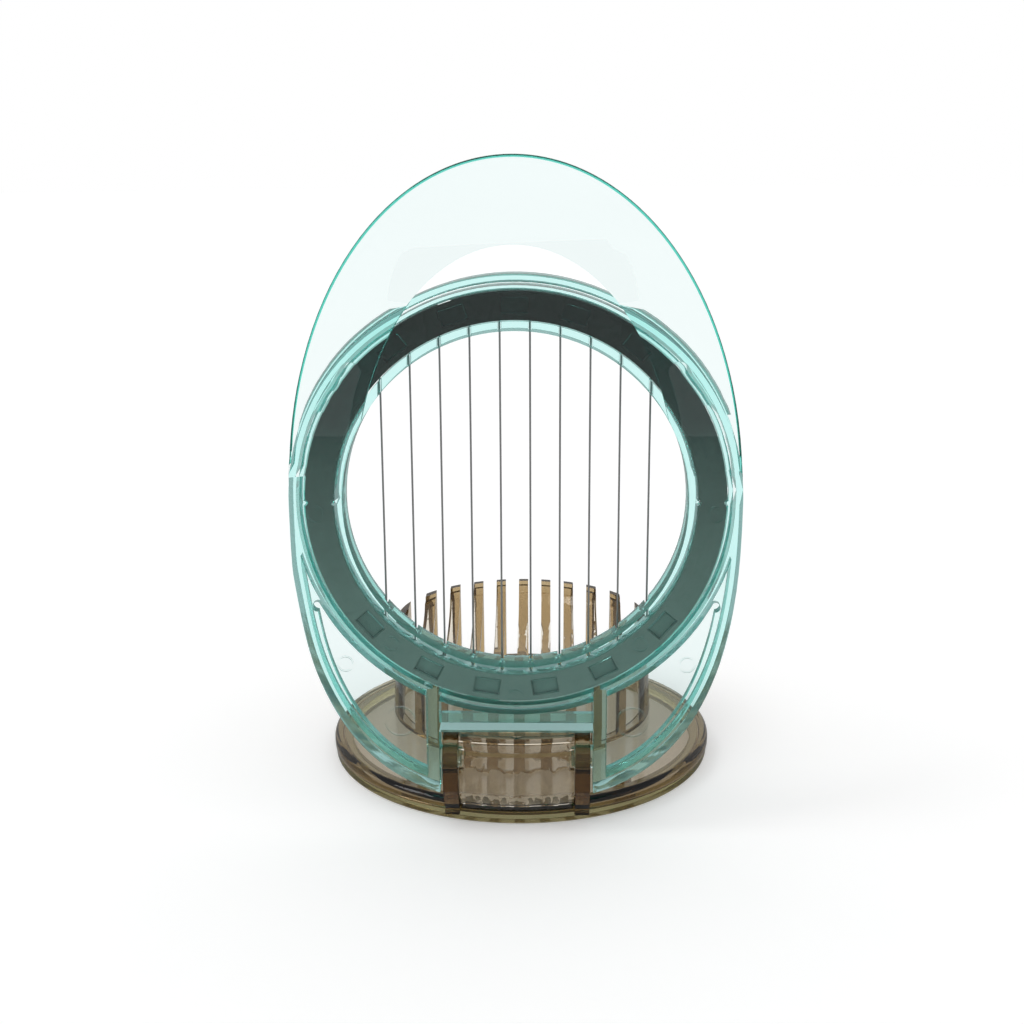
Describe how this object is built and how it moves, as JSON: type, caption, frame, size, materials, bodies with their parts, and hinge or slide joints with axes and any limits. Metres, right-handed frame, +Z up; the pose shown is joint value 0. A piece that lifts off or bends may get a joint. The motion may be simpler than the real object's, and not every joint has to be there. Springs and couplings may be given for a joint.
{
  "type": "egg slicer",
  "caption": "Hinged egg slicer standing open: clear mint wire frame with a raised thumb visor, over a smoke-brown round base with a slotted egg cradle.",
  "frame": {"origin": "centre of the round foot, on the table", "axes": "+Z up; X along the hinge; +Y from the hinge towards the egg cradle"},
  "size_m": [0.091, 0.1104, 0.141],
  "materials": {
    "mint_clear": "clear mint-tinted moulding, polished",
    "smoke_clear": "clear smoke-brown moulding, polished",
    "foot_vinyl": "pale olive soft vinyl",
    "ring_dark": "dark grey-green, satin",
    "steel": "drawn stainless wire"
  },
  "bodies": {
    "base": {"base_plate": "smoke_clear", "foot_ring": "foot_vinyl", "hinge_cover": "smoke_clear", "egg_cradle": "smoke_clear"},
    "frame": {"cutting_frame": "mint_clear", "wire_ring": "ring_dark", "wire_end_stops_near": "steel", "wire_end_stops_far": "steel", "cutting_wire_01": "steel", "cutting_wire_02": "steel", "cutting_wire_03": "steel", "cutting_wire_04": "steel", "cutting_wire_05": "steel", "cutting_wire_06": "steel", "cutting_wire_07": "steel", "cutting_wire_08": "steel", "cutting_wire_09": "steel", "cutting_wire_10": "steel"}
  },
  "joints": [
    {"name": "frame_hinge", "type": "hinge", "parent": "base", "child": "frame", "pos_m": [0, -0.045, 0.016], "axis": [-1, 0, 0], "range_deg": [0, 90]}
  ]
}
